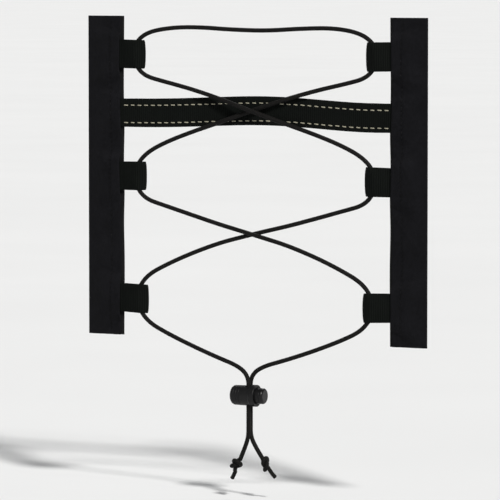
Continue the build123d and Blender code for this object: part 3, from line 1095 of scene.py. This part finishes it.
def add_strap():
    """The strap from one seam to the other, on its arch."""
    across, offset = strip_ring(WEBBING_HALF, WEBBING_THICK, STRAP_COLUMNS)
    end = SEAM_X + TAIL
    x = np.arange(end, -end, -WEBBING_STEP)
    along = end - x
    back, slope = strap_curl(x[:, None], across[None, :])
    y = (strap_low.y + strap_high.y) / 2 + back
    z = STRAP_Z + strap_wave(x)[:, None] + across[None, :]
    centre = np.stack([np.broadcast_to(x[:, None], y.shape), y, z], -1)
    normal = unit(np.stack([0 * slope, -np.ones(slope.shape), slope], -1))
    swell = ribs(along[:, None], across[None, :]) - row_valley(across)[None, :] / 2
    strap = add_strip("strap", centre, normal, across, offset, swell, along, 1, webbing, "ribbed_webbing")
    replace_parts(strap, "cross_strap")


add_strap()

# ---------------------------------------------------------------- stitching

chance = np.random.default_rng(11)
STITCH_RINGS = 15
STITCH_COLUMNS = 12
THREAD_TWIST = 5.5  # radii along the thread for one turn of its three plies


def stitch(start, end, outward, radius, depth):
    """One stitch of three-ply thread: it comes up, lies on the cloth and goes down again."""
    share = np.linspace(0, 1, STITCH_RINGS)
    lift = radius * 0.5 - depth * (np.abs(2 * share - 1) ** 3.5)
    points = start + (end - start) * share[:, None] + outward * lift[:, None]
    turns = lengths_along(points) / (THREAD_TWIST * radius)
    plies = np.abs(np.cos(1.5 * (ring_angles(STITCH_COLUMNS)[None, :] - 2 * math.pi * turns[:, None])))
    ends = np.sqrt(np.clip(1 - np.abs(2 * share - 1) ** 8, 0.1, 1))[:, None]
    return tube(points, radius * ends * (0.82 + 0.2 * plies))


def row_of(places, outward, radius, length, slant, depth):
    """Stitches from each place towards the next one, none of them quite like another."""
    made = []
    for place, following in zip(places[:-1], places[1:], strict=True):
        run = following - place
        along = unit(run)
        sideways = np.cross(along, outward)
        lean = sideways * slant * length * (1 + chance.normal(0, 0.12)) / 2
        half = along * length * (1 + chance.normal(0, 0.03)) / 2
        middle = (place + following) / 2 + sideways * chance.normal(0, 0.04) * MM
        made.append(stitch(middle - half - lean, middle + half + lean, outward, radius, depth))
    return made


def add_threads(name, parts, side, material, slot, node):
    """All the stitches of a row as one piece."""
    verts, faces, uvs, first = [], [], [], 0
    for part_verts, part_faces, part_uvs in parts:
        verts.append(part_verts)
        faces += [[first + corner for corner in face] for face in part_faces]
        uvs.append(part_uvs)
        first += len(part_verts)
    verts, uvs = np.concatenate(verts), np.concatenate(uvs)
    uvs = mirrored_uvs(uvs, faces, side)
    verts, faces = mirrored(verts, faces, side)
    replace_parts(make_piece(name, verts, faces, uvs, material, slot), node)


FRONT = np.array([0.0, -1.0, 0.0])
STRAP_PITCH = 5.3 * MM
STRAP_STITCH = 3.2 * MM
SEAM_STITCH = 2.7 * MM
SEAM_BOBBIN_STITCH = 2.6 * MM
BOBBIN_SINK = 0.16 * MM  # how deep the seam's bobbin thread lies in the tape

# radii of the threads
STRAP_THREAD = 0.42 * MM
STRAP_BOBBIN = 0.34 * MM
SEAM_THREAD = 0.3 * MM
SEAM_BOBBIN = 0.2 * MM


def strap_row(name):
    """The needle's stitches in front and the bobbin's behind, half a pitch further on."""
    count = int((row_high.x - row_low.x) / STRAP_PITCH)
    x = (np.arange(count + 1) - count / 2) * STRAP_PITCH
    z = STRAP_Z + STRAP_ROWS[name] + strap_wave(x)
    front = np.stack([x, np.full(len(x), strap_low.y + 0.1 * MM), z], -1)
    back = np.stack([x + STRAP_PITCH / 2, np.full(len(x), strap_high.y - 0.1 * MM), z], -1)[:-1]
    parts = row_of(front, FRONT, STRAP_THREAD, STRAP_STITCH, slant=0.06, depth=0.75 * MM)
    return parts + row_of(back, -FRONT, STRAP_BOBBIN, STRAP_STITCH, slant=0.05, depth=0.5 * MM)


for row in STRAP_ROWS:
    add_threads(f"strap_row_{row}", strap_row(row), 1, beige_thread, "beige_thread", f"strap_stitch_{row}")


def topstitch_row():
    """Made on a plane, then laid on the cover in front and in the valley of the tape behind."""
    z = np.arange(stitch_low.z, stitch_high.z, TOPSTITCH_PITCH)
    z = np.round(z / TOPSTITCH_PITCH) * TOPSTITCH_PITCH
    places = np.stack([np.full(len(z), TOPSTITCH_X), np.zeros(len(z)), z], -1)
    front = row_of(places, FRONT, SEAM_THREAD, SEAM_STITCH, slant=0.05, depth=0.4 * MM)
    back = row_of(places, -FRONT, SEAM_BOBBIN, SEAM_BOBBIN_STITCH, slant=0.05, depth=0.3 * MM)
    for verts, _, _ in front:
        verts[:, 1] -= cover_outer(verts[:, 0], verts[:, 2])
    for verts, _, _ in back:
        verts[:, 1] -= tape_inner(verts[:, 0], verts[:, 2]) + BOBBIN_SINK
    return front + back


for side_name, side in SIDES.items():
    parts = topstitch_row()
    node = f"topstitch_{side_name}"
    add_threads(f"seam_row_{side_name}", parts, side, black_thread, "black_thread", node)

# ---------------------------------------------------------------- cord lock

SPRING_TURNS = 6.0
CLOSED_TURN = 0.7  # of each end
OPENING_TURN = 0.5  # from closed to full pitch
CLOSED_PITCH = 0.16  # where the open turns have 1.16
WIRE = 0.6 * MM
WIRE_COLUMNS = 14
SPRING_POINTS = 460
spring_low, spring_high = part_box("lock_spring")


def add_spring():
    """A compression spring of round wire, its last turn at each end wound closed."""
    turn = np.linspace(0, SPRING_TURNS, SPRING_POINTS)
    opening = smooth((turn - CLOSED_TURN) / OPENING_TURN)
    opening = opening * smooth((SPRING_TURNS - CLOSED_TURN - turn) / OPENING_TURN)
    advance = np.concatenate([[0], np.cumsum(CLOSED_PITCH + opening[1:])])
    x = spring_low.x + WIRE / 2 + advance / advance[-1] * (spring_high.x - spring_low.x - WIRE)
    radius = (spring_high.z - spring_low.z - WIRE) / 2
    angle = 2 * math.pi * turn
    axis_y = (barrel_low.y + barrel_high.y) / 2
    axis_z = (barrel_low.z + barrel_high.z) / 2
    points = np.stack([x, axis_y + radius * np.cos(angle), axis_z + radius * np.sin(angle)], -1)
    wire = tube(points, np.full((SPRING_POINTS, WIRE_COLUMNS), WIRE / 2))
    spring = make_piece("spring", *wire, spring_wire, "spring_steel", "lock")
    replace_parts(spring, "lock_spring")
    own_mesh(spring)


add_spring()

for node, material in (("lock_barrel", barrel_plastic), ("lock_plunger", plunger_plastic)):
    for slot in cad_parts[node].material_slots:
        slot.material = material
